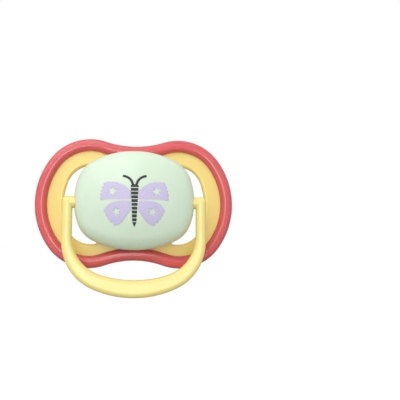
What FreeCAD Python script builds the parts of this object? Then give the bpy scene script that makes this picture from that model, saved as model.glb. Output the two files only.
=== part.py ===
import FreeCAD, Part
import math
import os
import Sketcher
from FreeCAD import Placement, Rotation, Vector

# Pacifier: a two-shot mouth shield, a hollow silicone teat locked in the shield by a plug,
# a snap-on button cover, and a ring handle that swings on two pegs in the cover.
#
# Millimetres.  X runs along the shield, +Z is up, the button faces -Y and the teat +Y.
# The origin is on the teat's axis, at the rear (mouth) face of the shield.

doc = FreeCAD.newDocument("pacifier")

# ---------------------------------------------------------------- driving dimensions

DIMENSIONS = [
    # shield: outline made of tangent arcs, then dished to a sphere about the teat's axis
    ("lobe_centre_x", 12.45),
    ("lobe_centre_z", 4.4),
    ("lobe_round", 13.6),
    ("side_round", 21.0),
    ("waist_round", 24.4),
    ("dish_sphere", 120.0),
    ("rim_thick", 4.1),
    ("rim_front_edge", 1.4),
    ("rim_rear_edge", 1.4),
    ("rim_inner_edge", 1.5),
    ("lip_width", 3.4),
    ("band_thick", 2.45),
    ("flange_thick", 1.3),
    ("flange_inset", 1.5),
    ("scallop_centre_x", 11.7),
    ("scallop_centre_z", 55.1),
    ("scallop_round", 40.2),
    ("stock_depth", 14.0),
    # air openings: one crescent on each side of the hub
    ("vent_hub_centre", 1.91),
    ("vent_hub_round", 15.7),
    ("vent_side_centre", 0.7),
    ("vent_side_round", 18.9),
    ("vent_corner_round", 6.9),
    ("vent_centre_z", -0.35),
    ("vent_half_height", 11.0),
    ("vent_tip_round", 0.8),
    ("vent_edge", 0.75),
    # hub: seat and collar for the teat, the plug and the button cover
    ("seat_y", 2.25),
    ("bore_hub", 3.85),
    ("bore_edge", 0.5),
    ("collar_inner", 6.4),
    ("collar_outer", 8.2),
    ("collar_front", 7.9),
    ("snap_tube", 0.35),
    ("snap_gap", 0.1),
    ("snap_y", 6.9),
    # teat
    ("flange_teat", 6.3),
    ("flange_teat_thick", 1.6),
    ("neck_outer", 3.75),
    ("neck_bore", 2.2),
    ("neck_length", 5.0),
    ("bulb_centre", 17.5),
    ("bulb_half_length", 8.9),
    ("bulb_half_width", 7.8),
    ("bulb_half_height", 6.5),
    ("bulb_wall", 1.6),
    ("flare_power", 1.7),
    # plug
    ("plug_head", 6.3),
    ("plug_head_thick", 1.8),
    ("plug_stem", 2.12),
    ("plug_bore", 1.25),
    ("plug_tip", 11.3),
    ("plug_wall", 1.1),
    ("slot_half_width", 0.6),
    ("slot_start", 5.2),
    ("slot_end", 7.8),
    # button cover: outline at its widest, then how far it draws in at the rear and the face
    ("cover_corner_x", 7.95),
    ("cover_corner_z", 3.78),
    ("cover_corner_round", 8.0),
    ("cover_side_round", 20.0),
    ("cover_end_round", 28.0),
    ("cover_rear", 2.1),
    ("cover_rear_inset", 1.6),
    ("cover_widest", 7.2),
    ("cover_face", 14.3),
    ("cover_face_inset", 1.3),
    ("face_sphere", 27.0),
    ("cover_edge", 5.0),
    ("cover_wall", 1.7),
    ("sleeve_inner", 8.35),
    ("sleeve_outer", 9.6),
    ("sleeve_rear", 3.2),
    ("sleeve_front", 11.6),
    ("bearing_outer", 3.0),
    ("bearing_bore", 1.87),
    ("bearing_inner_end", 11.0),
    ("bearing_outer_end", 14.6),
    # ring handle, about its own pivot
    ("pivot_y", 6.6),
    ("pivot_z", -0.5),
    ("ring_half_width", 19.35),
    ("ring_arm", 2.7),
    ("ring_thick", 3.4),
    ("ring_stock_top", 2.4),
    ("ring_outer_drop", 10.7),
    ("ring_inner_drop", 8.9),
    ("ring_outer_corner", 13.8),
    ("ring_inner_corner", 11.2),
    ("ring_outer_bottom", 25.7),
    ("ring_inner_bottom", 20.9),
    ("ring_edge", 1.2),
    ("peg_radius", 1.6),
    ("peg_inner_end", 11.3),
    ("peg_outer_end", 17.7),
    ("peg_edge", 0.3),
]

sheet = doc.addObject("Spreadsheet::Sheet", "Dimensions")
for row, (alias, value) in enumerate(DIMENSIONS, start=1):
    sheet.set(f"A{row}", alias)
    sheet.set(f"B{row}", str(value))
    sheet.setAlias(f"B{row}", alias)
doc.recompute()


def cell(alias):
    """The expression that reads one cell of the sheet."""
    return f"Dimensions.{alias}"


def size(expression):
    """The number that an expression of the sheet's cells stands for now."""
    return float(sheet.evalExpression(expression))


# ---------------------------------------------------------------- small helpers

def plane(body, role):
    return next(item for item in body.Origin.OriginFeatures if item.Role == role)


def new_body(name):
    return doc.addObject("PartDesign::Body", name)


def new_sketch(body, name, role, offset="0"):
    """A sketch on one of the body's own origin planes, moved along the plane's normal."""
    sketch = body.newObject("Sketcher::SketchObject", name)
    sketch.AttachmentSupport = [(plane(body, role), "")]
    sketch.MapMode = "FlatFace"
    if offset != "0":
        sketch.setExpression("AttachmentOffset.Base.z", offset)
    return sketch


def dimension(sketch, kind, *where, expression):
    """Add a driving dimension and bind it to the sheet."""
    index = sketch.addConstraint(Sketcher.Constraint(kind, *where, size(expression)))
    sketch.setExpression(f"Constraints[{index}]", expression)


def place_point(sketch, geometry, point, across=None, up=None):
    """Fix a point at signed distances from the sketch's origin."""
    for kind, place in (("DistanceX", across), ("DistanceY", up)):
        if place is None:
            continue
        if size(place) >= 0:
            dimension(sketch, kind, -1, 1, geometry, point, expression=place)
        else:
            dimension(sketch, kind, geometry, point, -1, 1, expression=f"-({place})")


def arc(centre, radius, start, end):
    circle = Part.Circle(Vector(centre[0], centre[1], 0), Vector(0, 0, 1), radius)
    return Part.ArcOfCircle(circle, start, end)


def angle(centre, point):
    return math.atan2(point[1] - centre[1], point[0] - centre[0])


def join_smoothly(sketch, joints):
    for first, first_end, second, second_end in joints:
        sketch.addConstraint(Sketcher.Constraint("Tangent", first, first_end, second, second_end))


def eight_arc_outline(sketch, corner_x, corner_z, corner, side, end, waisted):
    """Closed outline of eight tangent arcs, the same in all four quadrants.

    Four corner arcs stand between two side arcs and two end arcs (top and bottom).
    The end arcs bulge outwards, or inwards where the outline has a waist.
    """
    cx, cz, r, side_r, end_r = (size(e) for e in (corner_x, corner_z, corner, side, end))
    side_centre = (cx - math.sqrt((side_r - r) ** 2 - cz ** 2), 0.0)
    sign = 1 if waisted else -1
    end_centre = (0.0, cz + sign * math.sqrt((end_r + sign * r) ** 2 - cx ** 2))
    low = angle(side_centre, (cx, cz))
    high = angle((cx, cz), end_centre) if waisted else angle(end_centre, (cx, cz))
    full = 2 * math.pi

    corners = []
    for turn, flip in ((0, 1), (math.pi, -1), (math.pi, 1), (full, -1)):
        start, stop = (turn + low, turn + high) if flip == 1 else (turn - high, turn - low)
        middle = (start + stop) / 2
        centre = (math.copysign(cx, math.cos(middle)), math.copysign(cz, math.sin(middle)))
        corners.append(sketch.addGeometry(arc(centre, r, start, stop)))
    right = sketch.addGeometry(arc(side_centre, side_r, -low, low))
    left = sketch.addGeometry(arc((-side_centre[0], 0), side_r, math.pi - low, math.pi + low))
    if waisted:
        top = sketch.addGeometry(arc(end_centre, end_r, math.pi + high, full - high))
        bottom = sketch.addGeometry(arc((0, -end_centre[1]), end_r, high, math.pi - high))
        begins, ends = 2, 1
    else:
        top = sketch.addGeometry(arc(end_centre, end_r, high, math.pi - high))
        bottom = sketch.addGeometry(arc((0, -end_centre[1]), end_r, math.pi + high, full - high))
        begins, ends = 1, 2

    join_smoothly(sketch, (
        (right, 2, corners[0], 1), (corners[0], 2, top, begins),
        (top, ends, corners[1], 1), (corners[1], 2, left, 1),
        (left, 2, corners[2], 1), (corners[2], 2, bottom, begins),
        (bottom, ends, corners[3], 1), (corners[3], 2, right, 1)))
    for index, (across, up) in zip(corners, ((1, 1), (-1, 1), (-1, -1), (1, -1))):
        place_point(sketch, index, 3, f"{across} * ({corner_x})", f"{up} * ({corner_z})")
    for other in corners[1:]:
        sketch.addConstraint(Sketcher.Constraint("Equal", corners[0], other))
    sketch.addConstraint(Sketcher.Constraint("Equal", right, left))
    sketch.addConstraint(Sketcher.Constraint("Equal", top, bottom))
    dimension(sketch, "Radius", corners[0], expression=corner)
    dimension(sketch, "Radius", right, expression=side)
    dimension(sketch, "Radius", top, expression=end)


def polygon(sketch, points):
    """Closed outline of straight lines; each corner is a pair of expressions."""
    count = len(points)
    spots = [Vector(size(across), size(up), 0) for across, up in points]
    for index in range(count):
        sketch.addGeometry(Part.LineSegment(spots[index], spots[(index + 1) % count]))
    for index in range(count):
        sketch.addConstraint(Sketcher.Constraint("Coincident", index, 2, (index + 1) % count, 1))
    for index, (across, up) in enumerate(points):
        place_point(sketch, index, 1, across, up)


def circle(sketch, radius, across="0", up="0"):
    spot = Vector(size(across), size(up), 0)
    index = sketch.addGeometry(Part.Circle(spot, Vector(0, 0, 1), size(radius)))
    place_point(sketch, index, 3, across, up)
    dimension(sketch, "Radius", index, expression=radius)


def feature(body, kind, name, profile):
    made = body.newObject(f"PartDesign::{kind}", name)
    made.Profile = profile
    return made


def both_ways(body, kind, name, sketch):
    """A Pad or a Pocket that runs well past both faces of the shield."""
    made = feature(body, kind, name, sketch)
    made.SideType = "Symmetric"
    made.setExpression("Length", cell("stock_depth"))
    return made


def turned(body, kind, name, sketch):
    """A Revolution or a Groove about the teat's axis (Y)."""
    made = feature(body, kind, name, sketch)
    made.ReferenceAxis = (sketch, ["V_Axis"])
    made.Angle = 360
    return made


def round_edges(body, name, radius, chosen):
    """Fillet the edges of the body's tip that the test picks."""
    doc.recompute()
    base = body.Tip
    picked = [f"Edge{number}" for number, edge in enumerate(base.Shape.Edges, start=1)
              if chosen(edge)]
    made = body.newObject("PartDesign::Fillet", name)
    made.Base = (base, picked)
    made.setExpression("Radius", radius)
    doc.recompute()
    return made


def boolean(kind, name, base, tool):
    """Part::Cut, Part::Fuse or Part::Common of two objects."""
    made = doc.addObject(f"Part::{kind}", name)
    made.Base = base
    made.Tool = tool
    return made


def fuse_all(name, shapes):
    made = doc.addObject("Part::MultiFuse", name)
    made.Shapes = shapes
    return made


def rounded(name, base, radius, chosen):
    """Part::Fillet of the edges that the test picks."""
    doc.recompute()
    made = doc.addObject("Part::Fillet", name)
    made.Base = base
    made.Edges = [(number, size(radius), size(radius))
                  for number, edge in enumerate(base.Shape.Edges, start=1) if chosen(edge)]
    doc.recompute()
    return made


def bar(name, radius, length, start, direction):
    """A round bar from start along +X, -X, +Y or -Y."""
    turns = {"+X": (Vector(0, 1, 0), 90), "-X": (Vector(0, 1, 0), -90),
             "+Y": (Vector(1, 0, 0), -90), "-Y": (Vector(1, 0, 0), 90)}
    made = doc.addObject("Part::Cylinder", name)
    made.Placement = Placement(Vector(0, 0, 0), Rotation(*turns[direction]))
    made.setExpression("Radius", radius)
    made.setExpression("Height", length)
    for letter, place in zip("xyz", start):
        if place != "0":
            made.setExpression(f"Placement.Base.{letter}", place)
    return made


def ring_round_axis(name, radius, tube, depth):
    """A torus about the teat's axis."""
    made = doc.addObject("Part::Torus", name)
    made.Placement = Placement(Vector(0, 0, 0), Rotation(Vector(1, 0, 0), 90))
    made.setExpression("Radius1", radius)
    made.setExpression("Radius2", tube)
    made.setExpression("Placement.Base.y", f"-{depth}")
    return made


def dish_ball(name, offset):
    """A ball about the centre of the dish; its surface is that far in front of the dish."""
    made = doc.addObject("Part::Sphere", name)
    made.setExpression("Radius", f"{cell('dish_sphere')} + {offset}")
    made.setExpression("Placement.Base.y", cell("dish_sphere"))
    return made


def spots_along(edge):
    first, last = edge.ParameterRange
    return [edge.valueAt(first + (last - first) * part) for part in (0.0, 0.35, 0.7, 1.0)]


def on_ball(edge, radius, centre_y):
    """True for an edge that lies on a ball about a point of the teat's axis."""
    centre = Vector(0, centre_y, 0)
    return all(abs(spot.sub(centre).Length - radius) < 2e-3 for spot in spots_along(edge))


def on_dish(edge, offset):
    return on_ball(edge, size(cell("dish_sphere")) + offset, size(cell("dish_sphere")))


def on_prism(edge, outline):
    """True for an edge that stands on the walls raised over a sketch in the XZ plane."""
    for spot in spots_along(edge):
        flat = Part.Vertex(Vector(spot.x, 0, spot.z))
        if outline.Shape.distToShape(flat)[0] > 2e-3:
            return False
    return True


def shield_outline(body, name, inset):
    """The shield's outline, moved in by a distance."""
    sketch = new_sketch(body, name, "XZ_Plane")
    eight_arc_outline(
        sketch, cell("lobe_centre_x"), cell("lobe_centre_z"),
        f"{cell('lobe_round')} - {inset}", f"{cell('side_round')} - {inset}",
        f"{cell('waist_round')} + {inset}", waisted=True)
    return sketch


# ---------------------------------------------------------------- shield: first shot

def vent_outline(body, name, side):
    """One crescent air opening between the hub and the band; side is +1 or -1."""
    hub_x = -size(cell("vent_hub_centre"))
    hub_r = size(cell("vent_hub_round"))
    side_x = size(cell("vent_side_centre"))
    side_r = size(cell("vent_side_round"))
    corner_r = size(cell("vent_corner_round"))
    tip_r = size(cell("vent_tip_round"))
    half = size(cell("vent_half_height"))
    tip_z = half - tip_r
    tip_x = hub_x + math.sqrt((hub_r + tip_r) ** 2 - tip_z ** 2)
    corner_z = half - corner_r
    corner_x = side_x + math.sqrt((side_r - corner_r) ** 2 - corner_z ** 2)
    hub_swing = angle((hub_x, 0), (tip_x, tip_z))
    side_swing = angle((side_x, 0), (corner_x, corner_z))
    quarter = math.pi / 2
    sketch = new_sketch(body, name, "XZ_Plane")
    sketch.setExpression("AttachmentOffset.Base.y", cell("vent_centre_z"))

    def mirrored(centre, radius, start, stop):
        if side > 0:
            return sketch.addGeometry(arc(centre, radius, start, stop))
        return sketch.addGeometry(
            arc((-centre[0], centre[1]), radius, math.pi - stop, math.pi - start))

    def level(z):
        return sketch.addGeometry(
            Part.LineSegment(Vector(side * tip_x, z, 0), Vector(side * corner_x, z, 0)))

    hub = mirrored((hub_x, 0), hub_r, -hub_swing, hub_swing)
    top_tip = mirrored((tip_x, tip_z), tip_r, quarter, math.pi + hub_swing)
    top = level(half)
    top_corner = mirrored((corner_x, corner_z), corner_r, side_swing, quarter)
    outer = mirrored((side_x, 0), side_r, -side_swing, side_swing)
    low_corner = mirrored((corner_x, -corner_z), corner_r, -quarter, -side_swing)
    low = level(-half)
    low_tip = mirrored((tip_x, -tip_z), tip_r, math.pi - hub_swing, 3 * quarter)
    a, b = (1, 2) if side > 0 else (2, 1)
    join_smoothly(sketch, (
        (hub, b, top_tip, b), (top_tip, a, top, 1), (top, 2, top_corner, b),
        (top_corner, a, outer, b), (outer, a, low_corner, b), (low_corner, a, low, 2),
        (low, 1, low_tip, b), (low_tip, a, hub, a)))
    place_point(sketch, hub, 3, f"{-side} * {cell('vent_hub_centre')}", "0")
    place_point(sketch, outer, 3, f"{side} * {cell('vent_side_centre')}", "0")
    dimension(sketch, "Radius", hub, expression=cell("vent_hub_round"))
    dimension(sketch, "Radius", outer, expression=cell("vent_side_round"))
    dimension(sketch, "Radius", top_corner, expression=cell("vent_corner_round"))
    dimension(sketch, "Radius", top_tip, expression=cell("vent_tip_round"))
    sketch.addConstraint(Sketcher.Constraint("Equal", top_corner, low_corner))
    sketch.addConstraint(Sketcher.Constraint("Equal", top_tip, low_tip))
    for line, height in ((top, cell("vent_half_height")), (low, f"-{cell('vent_half_height')}")):
        sketch.addConstraint(Sketcher.Constraint("Horizontal", line))
        place_point(sketch, line, 1, up=height)
    return sketch


def make_band_blank():
    """Straight-walled block of the first shot's full-thickness part."""
    body = new_body("band_blank")
    both_ways(body, "Pad", "band_pad", shield_outline(body, "band_outline", cell("lip_width")))
    return body


def make_flange_blank():
    """Block of the thin flange that the second shot grips; its scalloped corners leave
    room for that shot on the rear face."""
    body = new_body("flange_blank")
    both_ways(body, "Pad", "flange_pad",
              shield_outline(body, "flange_outline", cell("flange_inset")))
    for across, up in ((1, 1), (-1, 1), (-1, -1), (1, -1)):
        tag = f"{'right' if across > 0 else 'left'}_{'top' if up > 0 else 'bottom'}"
        sketch = new_sketch(body, f"scallop_circle_{tag}", "XZ_Plane")
        circle(sketch, cell("scallop_round"), f"{across} * {cell('scallop_centre_x')}",
               f"{up} * {cell('scallop_centre_z')}")
        both_ways(body, "Pocket", f"scallop_{tag}", sketch)
    return body


def make_shield_frame(band_blank, dish):
    flange = boolean("Common", "flange", make_flange_blank(),
                     dish_ball("flange_ball", cell("flange_thick")))
    band = boolean("Common", "band", band_blank, dish_ball("band_ball", cell("band_thick")))
    plate = boolean("Cut", "dished_plate", fuse_all("plate", [flange, band]), dish)
    vents = []
    for side, tag in ((1, "right"), (-1, "left")):
        body = new_body(f"vent_{tag}")
        both_ways(body, "Pad", f"vent_pad_{tag}", vent_outline(body, f"vent_outline_{tag}", side))
        vents.append(body)
    vented = boolean("Cut", "vented_plate", plate, fuse_all("vents", vents))

    def vent_edge(edge):
        spot = edge.CenterOfMass
        near_vent = 8.0 < abs(spot.x) < 20.0 and abs(spot.z) < 12.0
        return near_vent and (on_dish(edge, 0.0) or on_dish(edge, size(cell("band_thick"))))

    softened = rounded("softened_plate", vented, cell("vent_edge"), vent_edge)
    # collar with a round snap bead, then the seat and the bore for the teat
    foot = f"({cell('seat_y')} - 0.6)"
    collar = bar("collar_bar", cell("collar_outer"), f"{cell('collar_front')} - {foot}",
                 ("0", f"-{foot}", "0"), "-Y")
    bead = ring_round_axis("snap_bead", cell("collar_outer"), cell("snap_tube"), cell("snap_y"))
    seat = bar("seat_hollow", cell("collar_inner"), cell("stock_depth"),
               ("0", f"-{cell('seat_y')}", "0"), "-Y")
    bore = bar("bore_hollow", cell("bore_hub"), cell("stock_depth"),
               ("0", f"-{cell('stock_depth')} / 2", "0"), "+Y")
    # bevel where the teat's neck leaves the rear face
    bevel = doc.addObject("Part::Cone", "bore_bevel")
    bevel.Placement = Placement(Vector(0, 0, 0), Rotation(Vector(1, 0, 0), -90))
    bevel.setExpression("Radius1", cell("bore_hub"))
    bevel.setExpression("Radius2", f"{cell('bore_hub')} + 2 * {cell('bore_edge')}")
    bevel.setExpression("Height", f"2 * {cell('bore_edge')}")
    bevel.setExpression("Placement.Base.y", f"-{cell('bore_edge')}")
    hub = fuse_all("plate_and_collar", [softened, collar, bead])
    return boolean("Cut", "shield_frame", hub, fuse_all("hub_cutters", [seat, bore, bevel]))


# ---------------------------------------------------------------- shield: second shot

def make_shield_rim(frame, band_blank, dish):
    body = new_body("rim_blank")
    both_ways(body, "Pad", "rim_pad", shield_outline(body, "rim_outline", "0"))
    front = boolean("Common", "rim_fronted", body, dish_ball("rim_ball", cell("rim_thick")))
    stock = boolean("Cut", "rim_dished", front, dish)
    stock = rounded("rim_front_rounded", stock, cell("rim_front_edge"),
                    lambda edge: on_dish(edge, size(cell("rim_thick"))))
    stock = rounded("rim_rear_rounded", stock, cell("rim_rear_edge"),
                    lambda edge: on_dish(edge, 0.0))
    stock = boolean("Cut", "rim_opened", stock, band_blank)
    inside = doc.getObject("band_outline")
    stock = rounded("rim_inner_rounded", stock, cell("rim_inner_edge"),
                    lambda edge: on_dish(edge, size(cell("rim_thick")))
                    and on_prism(edge, inside))
    return boolean("Cut", "shield_rim", stock, frame)


# ---------------------------------------------------------------- teat and plug

def section(name, depth, across, up):
    """One cross-section of the teat: an ellipse square to the Y axis."""
    ellipse = doc.addObject("Part::Ellipse", name)
    ellipse.Placement = Placement(Vector(0, 0, 0), Rotation(Vector(1, 0, 0), 90))
    ellipse.MajorRadius = size(across)
    ellipse.MinorRadius = size(up)
    ellipse.setExpression("MajorRadius", across)
    ellipse.setExpression("MinorRadius", up)
    ellipse.setExpression("Placement.Base.y", depth)
    return ellipse


def make_teat():
    neck = cell("neck_outer")
    sections = [
        section("neck_foot", f"-{cell('seat_y')}", neck, neck),
        section("neck_middle", f"{cell('neck_length')} / 2", neck, neck),
        section("neck_end", cell("neck_length"), neck, neck),
    ]
    join_angle = -28
    join_y = f"({cell('bulb_centre')} + {cell('bulb_half_length')} * sin({join_angle}deg))"
    for number, part in enumerate((0.27, 0.54, 0.8), start=1):
        grown = part ** size(cell("flare_power"))
        radii = [f"{neck} + ({cell(half)} * cos({join_angle}deg) - {neck}) * {grown:.4f}"
                 for half in ("bulb_half_width", "bulb_half_height")]
        depth = f"{cell('neck_length')} + ({join_y} - {cell('neck_length')}) * {part}"
        sections.append(section(f"flare_{number}", depth, *radii))
    for number, turn in enumerate((join_angle, -12, 8, 28, 47, 63, 75, 84), start=1):
        depth = f"{cell('bulb_centre')} + {cell('bulb_half_length')} * sin({turn}deg)"
        radii = [f"{cell(half)} * cos({turn}deg)"
                 for half in ("bulb_half_width", "bulb_half_height")]
        sections.append(section(f"bulb_{number}", depth, *radii))
    tip = doc.addObject("Part::Vertex", "bulb_tip")
    tip.setExpression("Y", f"{cell('bulb_centre')} + {cell('bulb_half_length')}")
    outside = doc.addObject("Part::Loft", "teat_outside")
    outside.Sections = sections + [tip]
    outside.Solid = True

    flange = bar("teat_flange", cell("flange_teat"), cell("flange_teat_thick"),
                 ("0", f"-{cell('seat_y')}", "0"), "-Y")
    stock = boolean("Fuse", "teat_stock", outside, flange)

    cavity = doc.addObject("Part::Ellipsoid", "bulb_cavity")
    cavity.Angle1 = -90
    cavity.setExpression("Radius1", f"{cell('bulb_half_height')} - {cell('bulb_wall')}")
    cavity.setExpression("Radius2", f"{cell('bulb_half_width')} - {cell('bulb_wall')}")
    cavity.setExpression("Radius3", f"{cell('bulb_half_length')} - {cell('bulb_wall')}")
    cavity.setExpression("Placement.Base.y", cell("bulb_centre"))
    bore = bar("neck_bore", cell("neck_bore"), f"{cell('bulb_centre')} + {cell('stock_depth')}",
               ("0", f"-{cell('stock_depth')}", "0"), "+Y")
    return boolean("Cut", "teat", stock, boolean("Fuse", "teat_hollow", cavity, bore))


def make_teat_plug():
    """Flanged plug: its head locks the teat's flange, its domed hollow stem fills the neck."""
    body = new_body("teat_plug")
    stem, bore, wall = cell("plug_stem"), cell("plug_bore"), cell("plug_wall")
    rear = f"-({cell('seat_y')} + {cell('flange_teat_thick')})"
    front = f"({rear} - {cell('plug_head_thick')})"
    dome_centre = f"({cell('plug_tip')} - {stem})"
    profile = new_sketch(body, "plug_profile", "XY_Plane")
    corners = [(bore, front), (cell("plug_head"), front), (cell("plug_head"), rear),
               (stem, rear), (stem, dome_centre)]
    spots = [Vector(size(across), size(up), 0) for across, up in corners]
    lines = [profile.addGeometry(Part.LineSegment(spots[i], spots[i + 1])) for i in range(4)]
    quarter = math.pi / 2
    dome = profile.addGeometry(arc((0, size(dome_centre)), size(stem), 0, quarter))
    inner_centre = f"({cell('plug_tip')} - {wall} - {bore})"
    tip_out = Vector(0, size(cell("plug_tip")), 0)
    tip_in = Vector(0, size(cell("plug_tip")) - size(wall), 0)
    axis = profile.addGeometry(Part.LineSegment(tip_out, tip_in))
    inner = profile.addGeometry(arc((0, size(inner_centre)), size(bore), 0, quarter))
    back = profile.addGeometry(
        Part.LineSegment(Vector(size(bore), size(inner_centre), 0), spots[0]))
    joints = [(lines[0], 2, lines[1], 1), (lines[1], 2, lines[2], 1), (lines[2], 2, lines[3], 1),
              (lines[3], 2, dome, 1), (dome, 2, axis, 1), (axis, 2, inner, 2),
              (inner, 1, back, 1), (back, 2, lines[0], 1)]
    for joint in joints:
        profile.addConstraint(Sketcher.Constraint("Coincident", *joint))
    for index, (across, up) in zip(lines, corners):
        place_point(profile, index, 1, across, up)
    place_point(profile, lines[3], 2, *corners[4])
    place_point(profile, dome, 3, "0", dome_centre)
    place_point(profile, inner, 3, "0", inner_centre)
    place_point(profile, inner, 1, bore, inner_centre)
    profile.addConstraint(Sketcher.Constraint("PointOnObject", axis, 1, -2))
    profile.addConstraint(Sketcher.Constraint("PointOnObject", axis, 2, -2))
    turned(body, "Revolution", "plug_turned", profile)
    # a slot through both walls of the stem lets air pass between the bulb and the front
    slot = new_sketch(body, "slot_outline", "XY_Plane")
    half = cell("slot_half_width")
    polygon(slot, ((f"-{half}", cell("slot_start")), (half, cell("slot_start")),
                   (half, cell("slot_end")), (f"-{half}", cell("slot_end"))))
    both_ways(body, "Pocket", "vent_slot", slot)
    return body


# ---------------------------------------------------------------- button cover

def cover_form(name, inset, past_rear):
    """The button's closed outer form, or with an inset the form of the hollow inside it."""
    body = new_body(name)
    loft_sections = []
    for tag, depth, drawn_in in (
            ("rear", f"{cell('cover_rear')} - {past_rear}", cell("cover_rear_inset")),
            ("widest", cell("cover_widest"), "0"),
            ("face", cell("cover_face"), cell("cover_face_inset"))):
        sketch = new_sketch(body, f"{name}_{tag}", "XZ_Plane", depth)
        eight_arc_outline(
            sketch, cell("cover_corner_x"), cell("cover_corner_z"),
            *(f"{cell(f'cover_{arc_name}_round')} - {drawn_in} - {inset}"
              for arc_name in ("corner", "side", "end")), waisted=False)
        loft_sections.append(sketch)
    loft = feature(body, "AdditiveLoft", f"{name}_loft", loft_sections[0])
    loft.Sections = loft_sections[1:]
    loft.Ruled = False
    doc.recompute()
    # the face is a shallow dome
    sketch = new_sketch(body, f"{name}_dome_profile", "XY_Plane")
    radius = size(cell("face_sphere")) - size(inset)
    reach, ahead = 20.0, 20.0
    centre_y = size(cell("face_sphere")) - size(cell("cover_face"))
    swing = math.asin(reach / radius)
    edge = Vector(reach, centre_y - radius * math.cos(swing), 0)
    curve = sketch.addGeometry(arc((0, centre_y), radius, -math.pi / 2, swing - math.pi / 2))
    out = sketch.addGeometry(Part.LineSegment(edge, Vector(reach, -ahead, 0)))
    across = sketch.addGeometry(Part.LineSegment(Vector(reach, -ahead, 0), Vector(0, -ahead, 0)))
    axis = sketch.addGeometry(
        Part.LineSegment(Vector(0, -ahead, 0), Vector(0, centre_y - radius, 0)))
    for joint in ((curve, 2, out, 1), (out, 2, across, 1), (across, 2, axis, 1),
                  (axis, 2, curve, 1)):
        sketch.addConstraint(Sketcher.Constraint("Coincident", *joint))
    sketch.addConstraint(Sketcher.Constraint("Vertical", out))
    sketch.addConstraint(Sketcher.Constraint("Horizontal", across))
    sketch.addConstraint(Sketcher.Constraint("PointOnObject", axis, 1, -2))
    sketch.addConstraint(Sketcher.Constraint("PointOnObject", axis, 2, -2))
    dimension(sketch, "Radius", curve, expression=f"{cell('face_sphere')} - {inset}")
    place_point(sketch, curve, 3, "0", f"{cell('face_sphere')} - {cell('cover_face')}")
    place_point(sketch, across, 1, across=str(reach), up=str(-ahead))
    turned(body, "Groove", f"{name}_dome", sketch)

    round_edges(body, f"{name}_rounding", f"{cell('cover_edge')} - {inset}",
                lambda edge: on_ball(edge, radius, centre_y))
    return body


def make_button_cover():
    outside = cover_form("cover_outside", "0", "0")
    inside = cover_form("cover_inside", cell("cover_wall"), "0.5")
    shell = boolean("Cut", "cover_shell", outside, inside)
    # inner sleeve that snaps over the collar
    length = f"{cell('sleeve_front')} - {cell('sleeve_rear')}"
    start = ("0", f"-{cell('sleeve_rear')}", "0")
    sleeve = boolean("Cut", "sleeve",
                     bar("sleeve_bar", cell("sleeve_outer"), length, start, "-Y"),
                     bar("sleeve_hollow", cell("sleeve_inner"), length, start, "-Y"))
    bearings = []
    pivots = []
    for direction, sign, tag in (("+X", 1, "right"), ("-X", -1, "left")):
        start = (f"{sign} * {cell('bearing_inner_end')}", f"-{cell('pivot_y')}",
                 cell("pivot_z"))
        bearings.append(bar(f"bearing_{tag}", cell("bearing_outer"),
                            f"{cell('bearing_outer_end')} - {cell('bearing_inner_end')}",
                            start, direction))
        pivots.append(bar(f"pivot_hole_{tag}", cell("bearing_bore"),
                          f"{cell('ring_half_width')} - {cell('bearing_inner_end')}",
                          start, direction))
    solid = fuse_all("cover_with_bearings", [shell, sleeve] + bearings)
    # groove for the collar's snap bead
    groove = ring_round_axis("snap_groove", cell("sleeve_inner"),
                             f"{cell('snap_tube')} + {cell('snap_gap')}", cell("snap_y"))
    return boolean("Cut", "button_cover", solid, fuse_all("cover_cutters", [groove] + pivots))


# ---------------------------------------------------------------- ring handle

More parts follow.
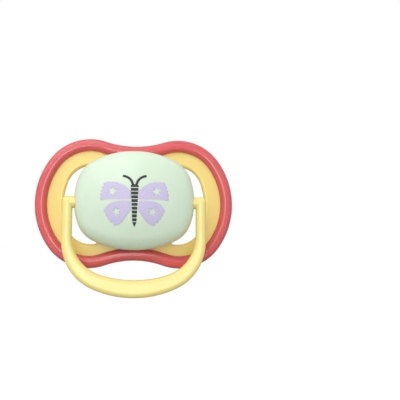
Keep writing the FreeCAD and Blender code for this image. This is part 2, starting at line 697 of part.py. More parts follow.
def ring_outline(sketch):
    """U-shaped loop: straight arms, then tangent arcs round the bottom, inside and outside."""
    half = size(cell("ring_half_width"))
    arm = size(cell("ring_arm"))
    top = size(cell("ring_stock_top"))
    pieces = {}
    for name, edge, drop, corner, bottom in (
            ("outer", half, "ring_outer_drop", "ring_outer_corner", "ring_outer_bottom"),
            ("inner", half - arm, "ring_inner_drop", "ring_inner_corner", "ring_inner_bottom")):
        drop, corner, bottom = size(cell(drop)), size(cell(corner)), size(cell(bottom))
        depth = bottom - drop
        corner_x = edge - corner
        # radius of the bottom arc, tangent to both corner arcs
        sweep = (corner_x ** 2 + depth ** 2 - corner ** 2) / (2 * (depth - corner))
        centre_z = sweep - bottom
        swing = angle((0, centre_z), (corner_x, -drop))
        right = sketch.addGeometry(
            Part.LineSegment(Vector(edge, top, 0), Vector(edge, -drop, 0)))
        right_corner = sketch.addGeometry(arc((corner_x, -drop), corner, swing, 0))
        base = sketch.addGeometry(arc((0, centre_z), sweep, -math.pi - swing, swing))
        left_corner = sketch.addGeometry(
            arc((-corner_x, -drop), corner, math.pi, math.pi - swing))
        left = sketch.addGeometry(
            Part.LineSegment(Vector(-edge, -drop, 0), Vector(-edge, top, 0)))
        join_smoothly(sketch, (
            (right, 2, right_corner, 2), (right_corner, 1, base, 2),
            (base, 1, left_corner, 2), (left_corner, 1, left, 1)))
        pieces[name] = (right, right_corner, base, left_corner, left)
    for side, end in ((0, 1), (4, 2)):
        outer, inner = pieces["outer"][side], pieces["inner"][side]
        sign = 1 if side == 0 else -1
        cap = sketch.addGeometry(Part.LineSegment(
            Vector(sign * half, top, 0), Vector(sign * (half - arm), top, 0)))
        sketch.addConstraint(Sketcher.Constraint("Coincident", outer, end, cap, 1))
        sketch.addConstraint(Sketcher.Constraint("Coincident", cap, 2, inner, end))
        place_point(sketch, outer, end, f"{sign} * {cell('ring_half_width')}", cell("ring_stock_top"))
        place_point(sketch, inner, end,
                    f"{sign} * ({cell('ring_half_width')} - {cell('ring_arm')})",
                    cell("ring_stock_top"))
    for name in ("outer", "inner"):
        right, right_corner, base, left_corner, left = pieces[name]
        for line in (right, left):
            sketch.addConstraint(Sketcher.Constraint("Vertical", line))
        for corner_arc in (right_corner, left_corner):
            place_point(sketch, corner_arc, 3, up=f"-{cell('ring_' + name + '_drop')}")
        sketch.addConstraint(Sketcher.Constraint("Equal", right_corner, left_corner))
        dimension(sketch, "Radius", right_corner,
                  expression=cell("ring_" + name + "_corner"))
        lowest = f"{cell('ring_' + name + '_bottom')} - {cell('ring_' + name + '_drop')}"
        across = f"({cell('ring_half_width')} - {cell('ring_' + name + '_corner')})"
        if name == "inner":
            across = f"({across} - {cell('ring_arm')})"
        corner = cell("ring_" + name + "_corner")
        radius = (f"({across}^2 + ({lowest})^2 - {corner}^2)"
                  f" / (2 * (({lowest}) - {corner}))")
        dimension(sketch, "Radius", base, expression=radius)


def ring_end_outline(sketch):
    """What lies outside a half circle over the arms' ends, so that cutting it rounds them."""
    half, reach = f"{cell('ring_thick')} / 2", cell("ring_stock_top")
    corners = [(f"-({half})", "0"), (f"-{reach}", "0"), (f"-{reach}", f"2 * {reach}"),
               (reach, f"2 * {reach}"), (reach, "0"), (half, "0")]
    spots = [Vector(size(across), size(up), 0) for across, up in corners]
    lines = [sketch.addGeometry(Part.LineSegment(*ends)) for ends in zip(spots, spots[1:])]
    end = sketch.addGeometry(arc((0, 0), size(half), 0, math.pi))
    for first, second in zip(lines, lines[1:]):
        sketch.addConstraint(Sketcher.Constraint("Coincident", first, 2, second, 1))
    sketch.addConstraint(Sketcher.Constraint("Coincident", lines[-1], 2, end, 1))
    sketch.addConstraint(Sketcher.Constraint("Coincident", end, 2, lines[0], 1))
    place_point(sketch, end, 3, "0", "0")
    place_point(sketch, lines[0], 1, up="0")
    for line, (across, up) in zip(lines[1:], corners[1:]):
        place_point(sketch, line, 1, across, up)
    place_point(sketch, lines[-1], 2, *corners[-1])


def make_ring_handle():
    body = new_body("ring_handle")
    outline = new_sketch(body, "ring_outline", "XZ_Plane")
    ring_outline(outline)
    loop = feature(body, "Pad", "ring_loop", outline)
    loop.SideType = "Symmetric"
    loop.setExpression("Length", cell("ring_thick"))
    ends = new_sketch(body, "ring_end_outline", "YZ_Plane")
    ring_end_outline(ends)
    cut = feature(body, "Pocket", "ring_end_cut", ends)
    cut.SideType = "Symmetric"
    cut.setExpression("Length", f"3 * {cell('ring_half_width')}")
    half_thick = size(cell("ring_thick")) / 2
    peg_end = size(cell("peg_inner_end"))

    def side_border(edge):
        """True for the edges where the loop's faces, or its round ends, meet its sides."""
        spots = spots_along(edge)
        on_face = all(abs(abs(spot.y) - half_thick) < 0.01 for spot in spots)
        on_end = all(spot.z > -0.01 and abs(math.hypot(spot.y, spot.z) - half_thick) < 0.01
                     for spot in spots)
        along_x = abs(spots[0].x - spots[-1].x) > 0.01 and abs(spots[0].z) < 0.01
        return (on_face or on_end) and not along_x

    round_edges(body, "ring_edge_rounding", cell("ring_edge"), side_border)
    for sign, tag in ((1, "right"), (-1, "left")):
        spot = new_sketch(body, f"peg_circle_{tag}", "YZ_Plane",
                          f"{sign} * {cell('peg_inner_end')}")
        circle(spot, cell("peg_radius"))
        peg = feature(body, "Pad", f"peg_{tag}", spot)
        peg.Reversed = sign < 0
        peg.setExpression("Length", f"{cell('peg_outer_end')} - {cell('peg_inner_end')}")
    round_edges(body, "peg_end_rounding", cell("peg_edge"),
                lambda edge: all(abs(abs(spot.x) - peg_end) < 0.01
                                 for spot in spots_along(edge)))
    body.setExpression("Placement.Base.y", f"-{cell('pivot_y')}")
    body.setExpression("Placement.Base.z", cell("pivot_z"))
    return body


# ---------------------------------------------------------------- assembly and export

dish_tool = dish_ball("dish", "0")
band_tool = make_band_blank()
shield_frame = make_shield_frame(band_tool, dish_tool)
parts = {
    "shield_frame": shield_frame,
    "shield_rim": make_shield_rim(shield_frame, band_tool, dish_tool),
    "teat": make_teat(),
    "teat_plug": make_teat_plug(),
    "button_cover": make_button_cover(),
    "ring_handle": make_ring_handle(),
}
for label, part in parts.items():
    part.Label = label
doc.recompute()

failed = [item.Name for item in doc.Objects
          if "Invalid" in item.State or "Error" in item.State]
if failed:
    raise RuntimeError(f"these objects did not compute: {failed}")
for label, part in parts.items():
    shape = part.Shape
    if shape.isNull() or not shape.isValid() or len(shape.Solids) != 1:
        raise RuntimeError(f"{label} is not one valid solid")

os.makedirs("parts", exist_ok=True)
for label, part in parts.items():
    part.Shape.exportStep(f"parts/{label}.step")
    box = part.Shape.BoundBox
    print(f"{label}: {part.Shape.Volume:.1f} mm3,"
          f" X {box.XMin:.2f}..{box.XMax:.2f}, Y {box.YMin:.2f}..{box.YMax:.2f},"
          f" Z {box.ZMin:.2f}..{box.ZMax:.2f}")
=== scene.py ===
import math

import bmesh
import bpy
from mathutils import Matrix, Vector
from mathutils.bvhtree import BVHTree
from mathutils.geometry import tessellate_polygon


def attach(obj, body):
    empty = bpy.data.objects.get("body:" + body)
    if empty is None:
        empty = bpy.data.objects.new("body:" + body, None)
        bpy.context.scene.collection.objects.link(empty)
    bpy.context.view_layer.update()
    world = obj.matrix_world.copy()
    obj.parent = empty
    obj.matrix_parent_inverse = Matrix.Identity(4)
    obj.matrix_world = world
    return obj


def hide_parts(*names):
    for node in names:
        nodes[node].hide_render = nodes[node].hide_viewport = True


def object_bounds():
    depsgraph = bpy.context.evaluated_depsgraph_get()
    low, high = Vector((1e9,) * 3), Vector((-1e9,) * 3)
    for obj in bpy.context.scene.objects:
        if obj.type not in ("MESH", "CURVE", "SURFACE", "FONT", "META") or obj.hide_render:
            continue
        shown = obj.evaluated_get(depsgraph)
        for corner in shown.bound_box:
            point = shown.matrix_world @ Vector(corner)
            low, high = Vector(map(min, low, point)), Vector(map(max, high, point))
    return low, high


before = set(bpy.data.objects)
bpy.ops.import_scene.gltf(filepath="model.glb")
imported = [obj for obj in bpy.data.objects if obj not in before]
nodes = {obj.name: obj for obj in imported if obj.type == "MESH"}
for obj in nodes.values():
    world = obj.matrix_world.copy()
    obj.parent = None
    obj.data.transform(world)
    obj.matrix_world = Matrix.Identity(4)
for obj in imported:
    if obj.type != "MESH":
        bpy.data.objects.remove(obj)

# Looks of the pacifier: moulded plastics, a silicone teat, the printed butterfly, and a
# plain white studio.  Metres, in the frame's own axes: the button faces -Y, the teat +Y.

MM = 0.001
BODY = "pacifier_body"

cad_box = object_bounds()


# ---------------------------------------------------------------- shader building blocks

class Shader:
    """A material under construction: its node tree, and short ways to add to it."""

    def __init__(self, name):
        self.material = bpy.data.materials.new(name)
        self.material.use_nodes = True
        self.tree = self.material.node_tree
        self.tree.nodes.clear()
        place = self.tree.nodes.new("ShaderNodeTexCoord")
        self.place = place.outputs["Object"]

    def put(self, socket, value):
        if isinstance(value, bpy.types.NodeSocket):
            self.tree.links.new(value, socket)
        else:
            socket.default_value = value

    def add(self, kind, settings=None, **inputs):
        node = self.tree.nodes.new(kind)
        for name, value in (settings or {}).items():
            setattr(node, name, value)
        for name, value in inputs.items():
            self.put(node.inputs[name.replace("_", " ")], value)
        return node

    def noise(self, size, detail=2.0, distortion=0.0):
        """Soft noise from 0 to 1 whose features are about this size in metres."""
        node = self.add("ShaderNodeTexNoise", Vector=self.place, Scale=1 / size, Detail=detail,
                        Distortion=distortion)
        return node.outputs["Fac"]

    def remap(self, value, low, high, to_low, to_high):
        """Ease from one value to another as the input goes from low to high."""
        node = self.add("ShaderNodeMapRange", {"interpolation_type": "SMOOTHSTEP"})
        for socket, given in zip(node.inputs[:5], (value, low, high, to_low, to_high)):
            self.put(socket, given)
        return node.outputs["Result"]

    def vary(self, noise, to_low, to_high):
        """Remap the middle of a noise's range, where most of the surface lies."""
        return self.remap(noise, 0.3, 0.7, to_low, to_high)

    def mix(self, factor, first, second):
        """Blend two colours."""
        node = self.add("ShaderNodeMix", {"data_type": "RGBA"})
        factor_input, first_input, second_input = (node.inputs[index] for index in (0, 6, 7))
        self.put(factor_input, factor)
        self.put(first_input, first)
        self.put(second_input, second)
        return node.outputs[2]

    def maths(self, operation, first, second):
        node = self.add("ShaderNodeMath", {"operation": operation})
        self.put(node.inputs[0], first)
        self.put(node.inputs[1], second)
        return node.outputs[0]

    def axis(self, letter):
        node = self.add("ShaderNodeSeparateXYZ", Vector=self.place)
        return node.outputs[letter]

    def bump(self, height, depth, strength, under=None):
        """Bump whose full height is this depth in metres."""
        node = self.add("ShaderNodeBump", Height=height, Distance=depth, Strength=strength)
        if under is not None:
            self.put(node.inputs["Normal"], under)
        return node.outputs["Normal"]

    def finish(self, surface):
        output = self.add("ShaderNodeOutputMaterial")
        self.tree.links.new(surface, output.inputs["Surface"])
        return self.material


def linear(red, green, blue):
    """An sRGB colour of 0 to 255 as a linear RGBA one."""
    def channel(value):
        share = value / 255
        return share / 12.92 if share <= 0.04045 else ((share + 0.055) / 1.055) ** 2.4
    return (channel(red), channel(green), channel(blue), 1.0)


# ---------------------------------------------------------------- materials

# moulded plastic: how far apart its clouds, specks, gloss patches, flow marks and grain are
PIGMENT_CLOUDS = 9 * MM
PIGMENT_SPECKS = 0.3 * MM
GLOSS_PATCHES = 5 * MM
FLOW_MARKS = 4 * MM
FLOW_MARK_DEPTH = 0.02 * MM
MOULD_GRAIN = 0.22 * MM
MOULD_GRAIN_DEPTH = 0.001 * MM
PLASTIC_IOR = 1.49
PLASTIC_SCATTER = 1.2 * MM

# silicone: clear up to the first depth along Y, fully frosted from the second
FROST_START = 8.0 * MM
FROST_FULL = 16.5 * MM
FROST_GRAIN = 0.16 * MM
FROST_GRAIN_DEPTH = 0.01 * MM
SILICONE_CLOUDS = 5 * MM
SILICONE_CLOUD_DEPTH = 0.03 * MM
SILICONE_IOR = 1.41
SILICONE_SCATTER = 2 * MM
SILICONE_LETS_LIGHT_IN = 0.95

PLUG_CLOUDS = 2.5 * MM
PLUG_GRAIN = 0.3 * MM
PLUG_GRAIN_DEPTH = 0.006 * MM

INK_BLOTCHES = 0.5 * MM
INK_GRAIN = 0.3 * MM
INK_DEPTH = 0.004 * MM

FLOOR_CLOUDS = 80 * MM
WHITE = (1.0, 1.0, 1.0, 1.0)


def moulded_plastic(name, colour, shade, depth, gloss=(0.29, 0.33), coat=0.5, glow=0.2,
                    glow_radius=(1.0, 0.7, 0.35), clear=0.0):
    """Injection-moulded plastic: cloudy pigment, faint flow marks, and a soft uneven gloss.

    The depth is the tint of the clear outermost layer, which deepens towards grazing.  Glow is
    the share of light that scatters inside, clear the share that passes through.
    """
    s = Shader(name)
    cloud = s.vary(s.noise(PIGMENT_CLOUDS, detail=3, distortion=0.4), 0.0, 1.0)
    tone = s.mix(cloud, colour, shade)
    specks = s.remap(s.noise(PIGMENT_SPECKS), 0.35, 0.75, 0.0, 0.35)
    tone = s.mix(specks, tone, shade)
    rough = s.vary(s.noise(GLOSS_PATCHES), *gloss)
    marks = s.bump(s.noise(FLOW_MARKS, detail=1), FLOW_MARK_DEPTH, strength=0.5)
    skin = s.bump(s.noise(MOULD_GRAIN), MOULD_GRAIN_DEPTH, strength=0.5, under=marks)
    surface = s.add("ShaderNodeBsdfPrincipled", Base_Color=tone, Roughness=rough, Normal=skin,
                    IOR=PLASTIC_IOR, Subsurface_Weight=glow, Subsurface_Radius=glow_radius,
                    Subsurface_Scale=PLASTIC_SCATTER, Coat_Weight=coat, Coat_Roughness=0.2,
                    Coat_Tint=depth, Transmission_Weight=clear)
    return s.finish(surface.outputs[0])


def silicone():
    """Clear silicone in the neck, frosted on the bulb from where the neck flares out."""
    s = Shader("silicone")
    frost = s.remap(s.axis("Y"), FROST_START, FROST_FULL, 0.0, 1.0)

    def along(clear, frosted):
        return s.remap(frost, 0.0, 1.0, clear, frosted)

    grain = s.noise(FROST_GRAIN, detail=3)
    cloud = s.noise(SILICONE_CLOUDS)
    rough = s.maths("ADD", along(0.05, 0.36), s.vary(cloud, 0.0, 0.06))
    depth = s.maths("MULTIPLY", frost, s.vary(grain, 0.0, 1.0))
    skin = s.bump(depth, FROST_GRAIN_DEPTH, strength=0.6,
                  under=s.bump(cloud, SILICONE_CLOUD_DEPTH, strength=0.4))
    tone = s.mix(frost, linear(250, 250, 247), linear(246, 247, 246))
    glass = s.add("ShaderNodeBsdfPrincipled", Base_Color=tone, Roughness=rough, Normal=skin,
                  IOR=SILICONE_IOR, Transmission_Weight=along(1.0, 0.75),
                  Subsurface_Weight=0.4, Subsurface_Radius=(1.0, 1.0, 1.0),
                  Subsurface_Scale=SILICONE_SCATTER)
    # light on its way to what is inside passes through most of the silicone
    clear = s.add("ShaderNodeBsdfTransparent", Color=linear(252, 252, 250))
    shadow_ray = s.add("ShaderNodeLightPath").outputs["Is Shadow Ray"]
    lit_through = s.maths("MULTIPLY", shadow_ray, SILICONE_LETS_LIGHT_IN)
    share = s.maths("MAXIMUM", along(0.35, 0.12), lit_through)
    surface = s.add("ShaderNodeMixShader", Fac=share)
    s.tree.links.new(glass.outputs[0], surface.inputs[1])
    s.tree.links.new(clear.outputs[0], surface.inputs[2])
    return s.finish(surface.outputs[0])


def translucent_plastic():
    """Natural, unpigmented plastic of the plug seen through the teat's neck."""
    s = Shader("clear_plastic")
    cloud = s.noise(PLUG_CLOUDS)
    tone = s.mix(cloud, linear(250, 250, 244), linear(242, 243, 235))
    rough = s.vary(cloud, 0.18, 0.25)
    skin = s.bump(s.noise(PLUG_GRAIN), PLUG_GRAIN_DEPTH, strength=0.5)
    surface = s.add("ShaderNodeBsdfPrincipled", Base_Color=tone, Roughness=rough, Normal=skin,
                    IOR=PLASTIC_IOR, Transmission_Weight=0.2)
    return s.finish(surface.outputs[0])


def print_ink(name, colour, shade):
    """Pad-printed ink: matt, a little uneven where the pad lifted off."""
    s = Shader(name)
    blotch = s.remap(s.noise(INK_BLOTCHES, detail=4), 0.35, 0.65, 0.0, 1.0)
    tone = s.mix(blotch, colour, shade)
    rough = s.vary(s.noise(INK_GRAIN, detail=3), 0.42, 0.58)
    skin = s.bump(blotch, INK_DEPTH, strength=0.5)
    surface = s.add("ShaderNodeBsdfPrincipled", Base_Color=tone, Roughness=rough, Normal=skin,
                    IOR=PLASTIC_IOR)
    return s.finish(surface.outputs[0])


def studio_white():
    """Seamless white floor, bright enough to lose its horizon."""
    s = Shader("studio_white")
    tone = s.mix(s.noise(FLOOR_CLOUDS), (0.9, 0.9, 0.9, 1.0), (0.93, 0.93, 0.93, 1.0))
    surface = s.add("ShaderNodeBsdfPrincipled", Base_Color=tone, Roughness=0.8,
                    Specular_IOR_Level=0.0, Emission_Color=WHITE, Emission_Strength=0.3)
    return s.finish(surface.outputs[0])


# ---------------------------------------------------------------- mesh building blocks

RING_POINTS = 128


def smooth_object(name, mesh, material):
    """A smooth-shaded piece that rides on the pacifier's body."""
    piece = bpy.data.objects.new(name, mesh)
    bpy.context.scene.collection.objects.link(piece)
    mesh.materials.append(material)
    for face in mesh.polygons:
        face.use_smooth = True
    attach(piece, BODY)
    return piece


def ellipse_rings(name, stations):
    """Closed skin through elliptical rings about the Y axis; a ring with no size is a tip.

    Each station is (y, half width across X, half height along Z), in metres.
    """
    form = bmesh.new()
    turns = [2 * math.pi * step / RING_POINTS for step in range(RING_POINTS)]
    rings = []
    for depth, across, up in stations:
        if across == 0:
            rings.append([form.verts.new((0, depth, 0))])
            continue
        rings.append([form.verts.new((across * math.cos(turn), depth, up * math.sin(turn)))
                      for turn in turns])
    for ring, following in zip(rings, rings[1:] + rings[:1]):
        for step in range(RING_POINTS):
            after = (step + 1) % RING_POINTS
            if len(ring) == 1 and len(following) == 1:
                break
            if len(ring) == 1:
                form.faces.new((ring[0], following[after], following[step]))
            elif len(following) == 1:
                form.faces.new((ring[step], ring[after], following[0]))
            else:
                form.faces.new((ring[step], ring[after], following[after], following[step]))
    bmesh.ops.recalc_face_normals(form, faces=form.faces)
    mesh = bpy.data.meshes.new(name)
    form.to_mesh(mesh)
    form.free()
    return mesh


# ---------------------------------------------------------------- teat

# sizes of the teat that its CAD solid also has
SEAT_Y = -2.25 * MM
FLANGE_THICK = 1.6 * MM
FLANGE_RADIUS = 6.3 * MM
NECK_RADIUS = 3.75 * MM
NECK_END = 5.0 * MM
BORE_RADIUS = 2.2 * MM
BULB_CENTRE = 17.5 * MM
BULB_HALF = Vector((7.8, 8.9, 6.5)) * MM
BULB_WALL = 1.6 * MM
BULB_START_ANGLE = -28
FLARE_POWER = 1.7
FLANGE_ROUND = 0.3 * MM
# over how long the bulb's hollow narrows to the round bore
MOUTH_LENGTH = 1.5 * MM
# how many rings of points each stretch of the teat has
FLANGE_STEPS = 4
NECK_STEPS = 12
FLARE_STEPS = 14
BULB_STEPS = 44
HOLLOW_STEPS = 40
MOUTH_STEPS = 6
BORE_STEPS = 16


def arc_stations(centre_y, centre_radius, radius, start, stop, steps=5):
    """Stations along a quarter-round corner, for a part that is round about the Y axis."""
    found = []
    for step in range(steps + 1):
        turn = math.radians(start + (stop - start) * step / steps)
        reach = centre_radius + radius * math.cos(turn)
        found.append((centre_y + radius * math.sin(turn), reach, reach))
    return found


def teat_outside():
    """Flange, neck, flare and bulb, from the flange's front inner edge to the bulb's tip."""
    front = SEAT_Y - FLANGE_THICK
    stations = [(front, BORE_RADIUS + FLANGE_ROUND, BORE_RADIUS + FLANGE_ROUND)]
    stations += arc_stations(front + FLANGE_ROUND, FLANGE_RADIUS - FLANGE_ROUND, FLANGE_ROUND,
                             -90, 0)
    stations += arc_stations(SEAT_Y - FLANGE_ROUND, FLANGE_RADIUS - FLANGE_ROUND, FLANGE_ROUND,
                             0, 90)
    for step in range(1, FLANGE_STEPS + 1):
        # flange's rear face, in to the neck
        reach = FLANGE_RADIUS + (NECK_RADIUS - FLANGE_RADIUS) * step / FLANGE_STEPS
        stations.append((SEAT_Y, reach, reach))
    for step in range(1, NECK_STEPS + 1):
        depth = SEAT_Y + (NECK_END - SEAT_Y) * step / NECK_STEPS
        stations.append((depth, NECK_RADIUS, NECK_RADIUS))
    start = math.radians(BULB_START_ANGLE)
    join_y = BULB_CENTRE + BULB_HALF.y * math.sin(start)
    for step in range(1, FLARE_STEPS):
        part = step / FLARE_STEPS
        grown = part ** FLARE_POWER
        stations.append((NECK_END + (join_y - NECK_END) * part,
                         NECK_RADIUS + (BULB_HALF.x * math.cos(start) - NECK_RADIUS) * grown,
                         NECK_RADIUS + (BULB_HALF.z * math.cos(start) - NECK_RADIUS) * grown))
    for step in range(BULB_STEPS):
        turn = start + (math.pi / 2 - start) * step / BULB_STEPS
        stations.append((BULB_CENTRE + BULB_HALF.y * math.sin(turn),
                         BULB_HALF.x * math.cos(turn), BULB_HALF.z * math.cos(turn)))
    stations.append((BULB_CENTRE + BULB_HALF.y, 0, 0))
    return stations


def teat_inside():
    """Hollow of the bulb and bore of the neck, from the hollow's tip back to the flange."""
    hollow = BULB_HALF - Vector((1, 1, 1)) * BULB_WALL
    # the round bore meets the hollow where the hollow's height has come down to the bore's
    meet = math.asin(BORE_RADIUS / hollow.z) - math.pi / 2
    stations = [(BULB_CENTRE + hollow.y, 0, 0)]
    for step in range(1, HOLLOW_STEPS + 1):
        turn = math.pi / 2 + (meet - math.pi / 2) * step / HOLLOW_STEPS
        stations.append((BULB_CENTRE + hollow.y * math.sin(turn),
                         hollow.x * math.cos(turn), hollow.z * math.cos(turn)))
    mouth_y, mouth_x, _ = stations[-1]
    for step in range(1, MOUTH_STEPS + 1):
        part = step / MOUTH_STEPS
        eased = part * part * (3 - 2 * part)
        stations.append((mouth_y - MOUTH_LENGTH * part,
                         mouth_x + (BORE_RADIUS - mouth_x) * eased, BORE_RADIUS))
    bore_top = mouth_y - MOUTH_LENGTH
    bore_end = SEAT_Y - FLANGE_THICK + FLANGE_ROUND
    for step in range(1, BORE_STEPS + 1):
        depth = bore_top + (bore_end - bore_top) * step / BORE_STEPS
        stations.append((depth, BORE_RADIUS, BORE_RADIUS))
    stations += arc_stations(bore_end, BORE_RADIUS + FLANGE_ROUND, FLANGE_ROUND, 180, 255, 4)[1:]
    return stations


def make_teat():
    """The whole hollow teat, in place of its CAD solid."""
    mesh = ellipse_rings("teat_silicone", teat_outside() + teat_inside())
    piece = smooth_object("teat_silicone", mesh, silicone())
    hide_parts("teat")


# ---------------------------------------------------------------- printed butterfly

# spacing of the print's points, and how high its two sides lie above the button's face
PRINT_GRID = 0.45 * MM
PRINT_TOP = 0.024 * MM
PRINT_UNDERSIDE = 0.006 * MM
# the shapes below are in millimetres about a point at this height
PRINT_CENTRE_Z = -1.45
CURVE_STEPS = 6
SCALLOPS = 5
SCALLOP_DEPTH = 0.36
SCALLOP_STEPS = 8
STAR_POINTS = 5
STAR_WAIST = 0.45
CROWN_STEPS = 10


def face_of_button():
    """Lookup of the button's front surface, from its own CAD mesh."""
    mesh = nodes["button_cover"].data
    points = [vertex.co.copy() for vertex in mesh.vertices]
    return BVHTree.FromPolygons(points, [tuple(face.vertices) for face in mesh.polygons])


def printed(name, outlines, material, surface, holes=()):
    """A thin closed layer of ink on the button's face.

    Outlines and holes are lists of (x, z) in metres, as seen from the front.
    """
    form = bmesh.new()
    for outline in outlines:
        inside = [hole for hole in holes if point_in(hole[0], outline)]
        loops = [[Vector((x, z, 0)) for x, z in loop] for loop in [outline] + inside]
        flat = [form.verts.new((spot.x, 0, spot.y)) for loop in loops for spot in loop]
        for triple in tessellate_polygon(loops):
            form.faces.new([flat[index] for index in triple])
    reach = max(max(abs(vert.co.x), abs(vert.co.z)) for vert in form.verts)
    lines = int(reach / PRINT_GRID) + 1
    for axis in (Vector((1, 0, 0)), Vector((0, 0, 1))):
        for line in range(-lines, lines + 1):
            everything = form.verts[:] + form.edges[:] + form.faces[:]
            bmesh.ops.bisect_plane(form, geom=everything, plane_co=axis * PRINT_GRID * line,
                                   plane_no=axis, dist=0.001 * MM)
    form.verts.index_update()

    # drop both sides of the layer on to the face, then wall its edges
    far = cad_box[0].y - 5 * MM
    upper, lower = [], []
    for vert in form.verts:
        hit, normal, _, _ = surface.ray_cast(Vector((vert.co.x, far, vert.co.z)),
                                             Vector((0, 1, 0)))
        if normal.y > 0:
            normal = -normal
        upper.append(hit + normal * PRINT_TOP)
        lower.append(hit + normal * PRINT_UNDERSIDE)
    count = len(upper)
    faces = []
    for face in form.faces:
        corners = [vert.index for vert in face.verts]
        if face.normal.y > 0:
            corners.reverse()
        faces.append(corners)
        faces.append([index + count for index in reversed(corners)])
    # an edge that only one upper face has is on the print's border
    sides = dict.fromkeys((start, stop) for corners in faces[::2]
                          for start, stop in zip(corners, corners[1:] + corners[:1]))
    for start, stop in sides:
        if (stop, start) not in sides:
            faces.append([stop, start, start + count, stop + count])
    form.free()
    mesh = bpy.data.meshes.new(name)
    mesh.from_pydata(upper + lower, [], faces)
    return smooth_object(name, mesh, material)


def point_in(spot, outline):
    """True if a point (x, z) lies inside a closed outline."""
    x, z = spot
    inside = False
    for (ax, az), (bx, bz) in zip(outline, outline[1:] + outline[:1]):
        if (az > z) != (bz > z) and x < (bx - ax) * (z - az) / (bz - az) + ax:
            inside = not inside
    return inside


def curve_through(points):
    """Catmull-Rom curve through open points."""
    ends = [points[0]] + list(points) + [points[-1]]
    found = []
    for a, b, c, d in zip(ends, ends[1:], ends[2:], ends[3:]):
        for step in range(CURVE_STEPS):
            t = step / CURVE_STEPS
            found.append(tuple(
                0.5 * (2 * q + (r - p) * t + (2 * p - 5 * q + 4 * r - s) * t * t
                       + (3 * q - p - 3 * r + s) * t ** 3)
                for p, q, r, s in zip(a, b, c, d)))
    found.append(tuple(points[-1]))
    return found


def scalloped(start, stop, bow):
    """A wing's outer edge between two points: a bowed row of round bumps on its left side."""
    (ax, az), (bx, bz) = start, stop
    length = math.hypot(bx - ax, bz - az)
    out_x, out_z = (az - bz) / length, (bx - ax) / length
    found = []
    for bump in range(SCALLOPS):
        for step in range(SCALLOP_STEPS):
            part = step / SCALLOP_STEPS
            along = (bump + part) / SCALLOPS
            rise = bow * 4 * along * (1 - along) + SCALLOP_DEPTH * math.sin(math.pi * part)
            found.append((ax + (bx - ax) * along + out_x * rise,
                          az + (bz - az) * along + out_z * rise))
    found.append(stop)
    return found


def star(centre, radius, lean):
    """Star outline, turned by lean radians from upright."""
    found = []
    for step in range(2 * STAR_POINTS):
        reach = radius if step % 2 == 0 else radius * STAR_WAIST
        turn = math.pi / 2 + lean + math.pi * step / STAR_POINTS
        found.append((centre[0] + reach * math.cos(turn), centre[1] + reach * math.sin(turn)))
    return found


def mirrored(outline):
    """The same outline on the other side of the body."""
    return [(-x, z) for x, z in reversed(outline)]


def in_place(outline):
    """From millimetres about the print's centre to metres in the frame."""
    return [(x * MM, (z + PRINT_CENTRE_Z) * MM) for x, z in outline]


def wing(edge_in, tip, heel, edge_out, bow):
    """One wing: an edge out from the body to its tip, a scalloped edge, and an edge back."""
    return (curve_through(edge_in + [tip]) + scalloped(tip, heel, bow)[1:]
            + curve_through([heel] + edge_out)[1:])


def stripe(path, half_width):
    """Closed outline of a line of even width that follows a path."""
    left_side, right_side = [], []
    last = len(path) - 1
    for index, (x, z) in enumerate(path):
        before, after = path[max(index - 1, 0)], path[min(index + 1, last)]
        run, climb = after[0] - before[0], after[1] - before[1]
        length = math.hypot(run, climb)
        across, up = -climb / length * half_width, run / length * half_width
        left_side.append((x + across, z + up))
        right_side.append((x - across, z - up))
    return left_side + right_side[::-1]


def body_bands(top, bottom, count, gap, head, tail):
    """The butterfly's body: bands that narrow from the head's half width to the tail's."""
    def half_width(z):
        return tail + (head - tail) * (z - bottom) / (top - bottom)

    bands = []
    pitch = (top - bottom) / count
    for band in range(count):
        high = top - band * pitch
        low = high - pitch + gap
        wide, narrow = half_width(high), half_width(low)
        if band == 0:
            # rounded head
            turns = [math.pi * step / CROWN_STEPS for step in range(CROWN_STEPS + 1)]
            crown = [(wide * math.cos(turn), high + wide / 2 * (math.sin(turn) - 1))
                     for turn in turns]
            bands.append(crown + [(-narrow, low), (narrow, low)])
        elif band == count - 1:
            # pointed tail
            bands.append([(wide, high), (-wide, high), (-narrow * 0.6, low + 0.2),
                          (0, low - 0.5), (narrow * 0.6, low + 0.2)])
        else:
            bands.append([(wide, high), (-wide, high), (-narrow, low), (narrow, low)])
    return bands


def make_butterfly():
    """A plain butterfly, the same on both sides, with a star left out of each wing."""
    surface = face_of_button()
    upper = wing(edge_in=[(1.0, 3.2), (2.6, 4.5), (4.9, 5.5)], tip=(7.5, 5.6), heel=(8.7, 0.7),
                 edge_out=[(6.4, 1.0), (3.4, 0.9), (1.0, 0.85)], bow=0.35)
    lower = wing(edge_in=[(1.0, 0.5), (3.6, 0.55), (6.2, 0.0)], tip=(7.8, -1.5), heel=(4.6, -5.9),
                 edge_out=[(3.2, -5.0), (2.1, -3.5), (1.0, -2.0)], bow=0.5)
    stars = [star((5.8, 3.1), radius=1.35, lean=0.2), star((4.7, -2.3), radius=1.25, lean=-0.3)]
    holes = stars + [mirrored(shape) for shape in stars]
    lavender = print_ink("lavender_ink", linear(207, 199, 228), linear(202, 194, 225))
    printed("butterfly_wings",
            [in_place(shape) for shape in (upper, lower, mirrored(upper), mirrored(lower))],
            lavender, surface, holes=[in_place(shape) for shape in holes])

    charcoal = print_ink("charcoal_ink", linear(42, 44, 45), linear(52, 53, 53))
    bands = body_bands(top=4.9, bottom=-6.0, count=11, gap=0.21, head=1.05, tail=0.5)
    printed("butterfly_body", [in_place(shape) for shape in bands], charcoal, surface)
    feeler = stripe(curve_through([(0.4, 4.6), (0.9, 5.9), (1.9, 6.8), (3.1, 7.2)]),
                    half_width=0.32)
    printed("butterfly_feelers",
            [in_place(shape) for shape in (feeler, mirrored(feeler))], charcoal, surface)


# ---------------------------------------------------------------- studio

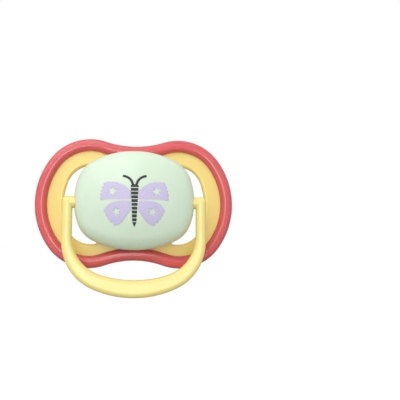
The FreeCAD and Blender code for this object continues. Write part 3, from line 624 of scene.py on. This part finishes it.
FLOOR_RADIUS = 3.0
FLOOR_DROP = 60 * MM
FLOOR_POINTS = 96

# name, place, size, power, and whether glossy surfaces mirror it; all face the origin
LIGHTS = (
    ("key", (-0.25, -0.35, 0.45), 0.6, 1.2, True),
    ("front", (-0.05, -0.6, 0.0), 0.3, 0.8, True),
    ("back", (0.15, 0.6, 0.12), 0.4, 1.8, False),
)

# the dome eases from dim to bright along this direction, between these two cosines
DOME_TOWARDS = Vector((-0.1, -0.5, 0.85)).normalized()
DOME_RANGE = (-0.9, 0.9)
DOME_STRENGTH = (0.37, 0.88)

# camera low in front of the button, turned a little to the right and up
CAMERA_PLACE = Vector((-0.24, -214.32, -26.68)) * MM
CAMERA_YAW = math.radians(4.97)
CAMERA_PITCH = math.radians(7.41)
CAMERA_LENS = 69.26
CAMERA_SENSOR = 36.0
CAMERA_CLIP = (10 * MM, 20.0)


def make_floor():
    """Wide pale floor below the object, which lights nothing itself."""
    bpy.ops.mesh.primitive_circle_add(vertices=FLOOR_POINTS, radius=FLOOR_RADIUS,
                                      fill_type="NGON", location=(0, 0, -FLOOR_DROP))
    floor = bpy.context.object
    floor.name = "floor"
    floor.data.materials.append(studio_white())
    floor.visible_diffuse = False
    floor.visible_glossy = False


def soft_light(name, place, size, power, glints):
    """A round area light that faces the origin."""
    lamp = bpy.data.lights.new(name, "AREA")
    lamp.shape = "DISK"
    lamp.size = size
    lamp.energy = power
    rig = bpy.data.objects.new(name, lamp)
    rig.location = place
    rig.rotation_mode = "QUATERNION"
    rig.rotation_quaternion = (-Vector(place)).to_track_quat("-Z", "Y")
    rig.visible_camera = False
    rig.visible_glossy = glints
    bpy.context.scene.collection.objects.link(rig)


def make_world():
    """White to the eye; as a light, bright above and in front, dimmer below and behind."""
    world = bpy.data.worlds.new("studio")
    world.use_nodes = True
    tree = world.node_tree
    tree.nodes.clear()
    coord = tree.nodes.new("ShaderNodeTexCoord")
    towards = tree.nodes.new("ShaderNodeVectorMath")
    towards.operation = "DOT_PRODUCT"
    tree.links.new(coord.outputs["Generated"], towards.inputs[0])
    towards.inputs[1].default_value = DOME_TOWARDS
    spread = tree.nodes.new("ShaderNodeMapRange")
    spread.interpolation_type = "SMOOTHSTEP"
    tree.links.new(towards.outputs["Value"], spread.inputs["Value"])
    for name, value in zip(("From Min", "From Max", "To Min", "To Max"),
                           DOME_RANGE + DOME_STRENGTH):
        spread.inputs[name].default_value = value
    dome = tree.nodes.new("ShaderNodeBackground")
    tree.links.new(spread.outputs["Result"], dome.inputs["Strength"])
    white = tree.nodes.new("ShaderNodeBackground")
    white.inputs["Strength"].default_value = 1.0
    for background in (dome, white):
        background.inputs["Color"].default_value = WHITE
    seen = tree.nodes.new("ShaderNodeLightPath")
    mixer = tree.nodes.new("ShaderNodeMixShader")
    tree.links.new(seen.outputs["Is Camera Ray"], mixer.inputs[0])
    tree.links.new(dome.outputs[0], mixer.inputs[1])
    tree.links.new(white.outputs[0], mixer.inputs[2])
    output = tree.nodes.new("ShaderNodeOutputWorld")
    tree.links.new(mixer.outputs[0], output.inputs["Surface"])
    bpy.context.scene.world = world


def make_camera():
    forward = Vector((math.sin(CAMERA_YAW) * math.cos(CAMERA_PITCH),
                      math.cos(CAMERA_YAW) * math.cos(CAMERA_PITCH), math.sin(CAMERA_PITCH)))
    camera_data = bpy.data.cameras.new("camera")
    camera_data.sensor_width = CAMERA_SENSOR
    camera_data.lens = CAMERA_LENS
    camera_data.clip_start, camera_data.clip_end = CAMERA_CLIP
    camera = bpy.data.objects.new("camera", camera_data)
    camera.location = CAMERA_PLACE
    camera.rotation_mode = "QUATERNION"
    camera.rotation_quaternion = forward.to_track_quat("-Z", "Y")
    bpy.context.scene.collection.objects.link(camera)
    bpy.context.scene.camera = camera


# ---------------------------------------------------------------- assembly

# finish of each CAD node that stays visible: its colour, its shade, and its clear layer's tint
finishes = {
    "shield_frame": moulded_plastic(
        "yellow_plastic", linear(252, 233, 153), linear(251, 230, 148), linear(250, 238, 200)),
    "shield_rim": moulded_plastic(
        "coral_elastomer", linear(250, 147, 150), linear(246, 140, 144), linear(240, 184, 186),
        gloss=(0.2, 0.24), coat=1.0, glow=0.4, glow_radius=(1.0, 0.45, 0.4), clear=0.2),
    "teat_plug": translucent_plastic(),
    "button_cover": moulded_plastic(
        "mint_plastic", linear(231, 244, 227), linear(226, 241, 222), linear(234, 246, 231),
        gloss=(0.4, 0.45), coat=0.4, glow=0.3, glow_radius=(0.8, 1.0, 0.8)),
    "ring_handle": moulded_plastic(
        "ring_plastic", linear(253, 240, 163), linear(252, 237, 158), linear(250, 238, 200),
        gloss=(0.2, 0.24), glow=0.15),
}
for node, finish in finishes.items():
    nodes[node].data.materials.clear()
    nodes[node].data.materials.append(finish)

make_teat()
make_butterfly()

make_floor()
make_world()
for light in LIGHTS:
    soft_light(*light)
make_camera()

scene = bpy.context.scene
scene.view_settings.view_transform = "Standard"
scene.view_settings.look = "None"
